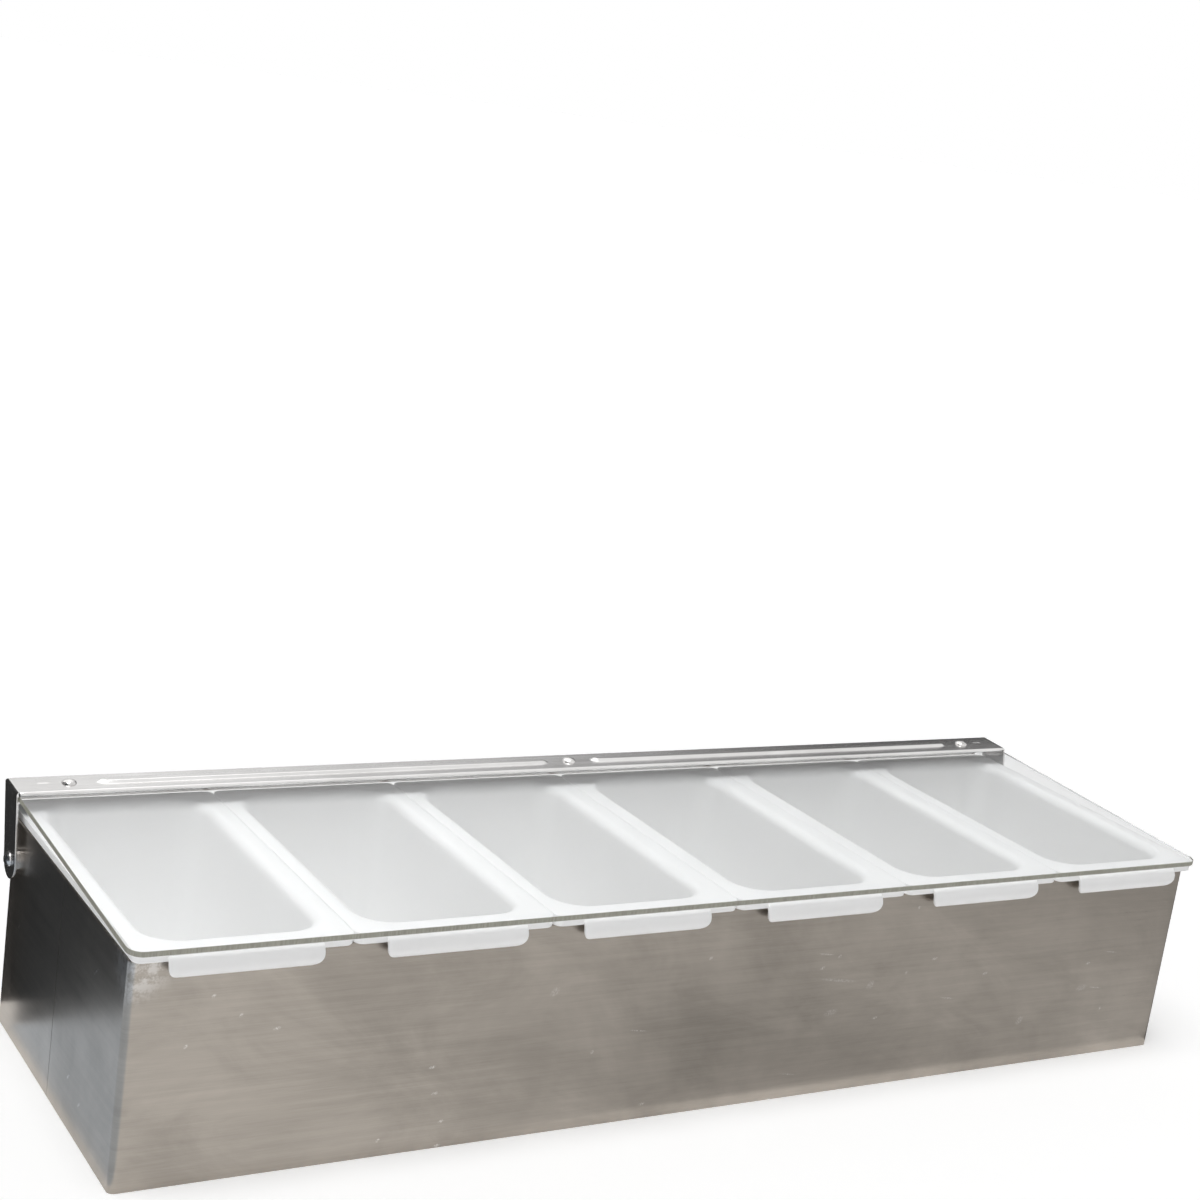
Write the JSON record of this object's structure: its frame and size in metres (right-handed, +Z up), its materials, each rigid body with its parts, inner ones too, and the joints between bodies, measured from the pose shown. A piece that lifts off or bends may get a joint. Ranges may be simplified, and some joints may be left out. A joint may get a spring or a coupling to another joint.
{
  "type": "bar garnish tray",
  "caption": "Long folded stainless tray holding a row of lift-out lipped tubs with finger tabs under a clear sloping lid on a riveted rear hinge bar.",
  "frame": {"origin": "centre of the housing's footprint on the surface it stands on", "axes": "+X to the right along the front, +Y to the rear where the lid is hinged, +Z up"},
  "size_m": [0.4902, 0.1499, 0.0993],
  "materials": {
    "steel_sheet": "horizontal brushed grain with light smudges and scratches",
    "fittings": "smooth bright rivets and washers",
    "insert_plastic": "translucent white moulded polypropylene, soft sheen",
    "clear_lid": "clear glossy acrylic sheet"
  },
  "bodies": {
    "housing": {"front_shell": "steel_sheet", "rear_shell": "steel_sheet", "base_pan": "steel_sheet", "insert_1": "insert_plastic", "insert_2": "insert_plastic", "insert_3": "insert_plastic", "insert_4": "insert_plastic", "insert_5": "insert_plastic", "insert_6": "insert_plastic", "hinge_rivet_left": "fittings", "hinge_rivet_right": "fittings", "hinge_washer_left": "fittings", "hinge_washer_right": "fittings"},
    "lid_assembly": {"lid": "clear_lid", "hinge_bar": "steel_sheet", "lid_rivet_left": "fittings", "lid_rivet_middle": "fittings", "lid_rivet_right": "fittings", "rivet_washer_left": "fittings", "rivet_washer_middle": "fittings", "rivet_washer_right": "fittings"}
  },
  "joints": [
    {"name": "lid_hinge", "type": "hinge", "parent": "housing", "child": "lid_assembly", "pos_m": [0, 0.06115, 0.06979], "axis": [-1, 0, 0], "range_deg": [0, 118]}
  ]
}
